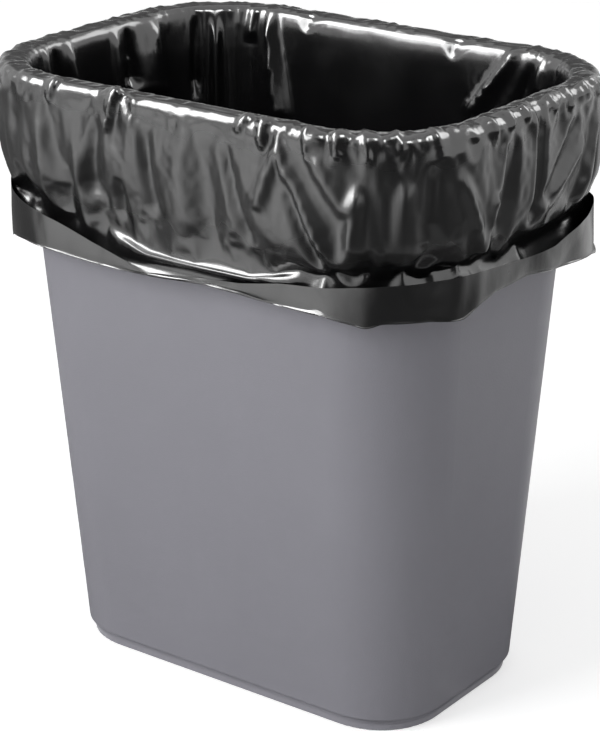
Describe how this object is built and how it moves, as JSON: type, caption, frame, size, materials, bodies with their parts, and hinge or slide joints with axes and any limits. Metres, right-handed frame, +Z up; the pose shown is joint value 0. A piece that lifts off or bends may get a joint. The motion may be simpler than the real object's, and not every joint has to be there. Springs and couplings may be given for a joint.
{
  "type": "lined waste basket",
  "caption": "Tapered rectangular waste basket with rounded corners, lined with a thin film bag whose mouth is cuffed over the rim.",
  "frame": {"origin": "on the floor, under the middle of the basket", "axes": "+Z up, +X along the basket's long sides, -Y towards the front long side"},
  "size_m": [0.3622, 0.2673, 0.4018],
  "materials": {
    "basket_plastic": "satin moulded plastic",
    "liner_film": "glossy black film"
  },
  "bodies": {
    "root": {"basket": "basket_plastic", "liner": "liner_film"}
  },
  "joints": []
}
